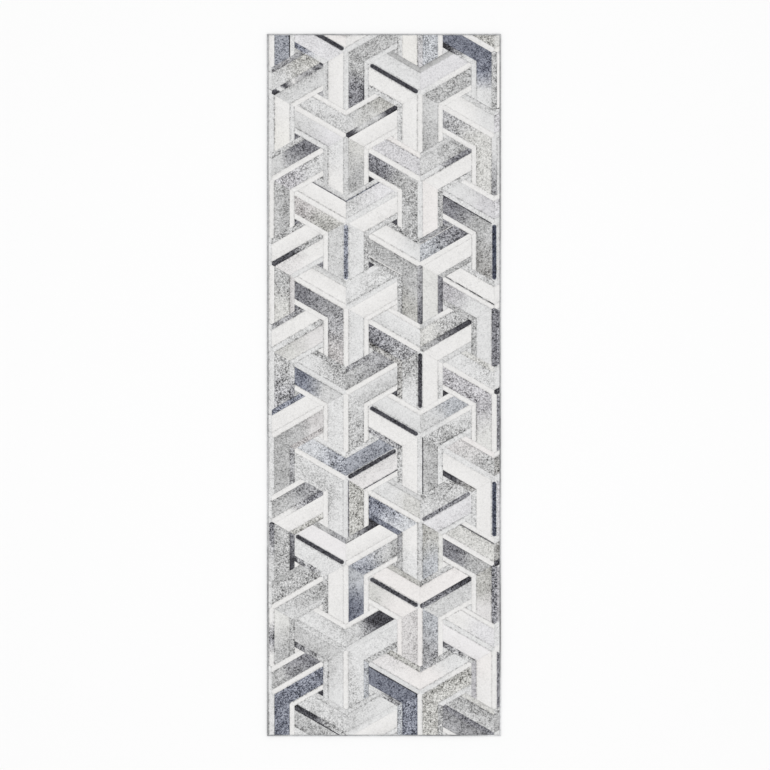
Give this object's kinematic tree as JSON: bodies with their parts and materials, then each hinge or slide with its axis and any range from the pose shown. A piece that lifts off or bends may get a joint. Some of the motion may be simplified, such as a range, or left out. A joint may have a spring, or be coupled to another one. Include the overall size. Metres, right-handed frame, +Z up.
{
  "type": "runner rug",
  "caption": "Long low-pile runner rug with interlocking three-armed blocks in greys and ivory, overcast yarn edges and a woven backing.",
  "frame": {"origin": "centre of the underside, on the floor", "axes": "+Z up from the floor to the pile, +Y along the length towards the head end, +X across to the right seen from above with the head end up"},
  "size_m": [0.762, 2.286, 0.008],
  "materials": {
    "pile": "short cut pile in ivory, greys and charcoal, matte with a slight sheen",
    "ground": "plain woven ground cloth, matte",
    "latex": "brushed latex coat, dull",
    "backing": "open woven backing cloth, matte",
    "edge_yarn": "overcast grey yarn, matte",
    "label": "blank woven tape, satin"
  },
  "bodies": {
    "root": {"backing_cloth": "backing", "care_label": "label", "edge_yarn_foot": "edge_yarn", "edge_yarn_head": "edge_yarn", "edge_yarn_left": "edge_yarn", "edge_yarn_right": "edge_yarn", "ground_cloth": "ground", "latex_coat": "latex", "pile_block_a1": "pile", "pile_block_a2": "pile", "pile_block_a3": "pile", "pile_block_a4": "pile", "pile_block_a5": "pile", "pile_block_a6": "pile", "pile_block_a7": "pile", "pile_block_a8": "pile", "pile_block_a9": "pile", "pile_block_b1": "pile", "pile_block_b2": "pile", "pile_block_b3": "pile", "pile_block_b4": "pile", "pile_block_b5": "pile", "pile_block_b6": "pile", "pile_block_b7": "pile", "pile_block_b8": "pile", "pile_block_b9": "pile", "pile_block_c1": "pile", "pile_block_c2": "pile", "pile_block_c3": "pile", "pile_block_c4": "pile", "pile_block_c5": "pile", "pile_block_c6": "pile", "pile_block_c7": "pile", "pile_block_c8": "pile", "pile_block_c9": "pile", "pile_block_d1": "pile", "pile_block_d2": "pile", "pile_block_d3": "pile", "pile_block_d4": "pile", "pile_block_d5": "pile", "pile_block_d6": "pile", "pile_block_d7": "pile", "pile_block_d8": "pile", "pile_block_d9": "pile"}
  },
  "joints": []
}
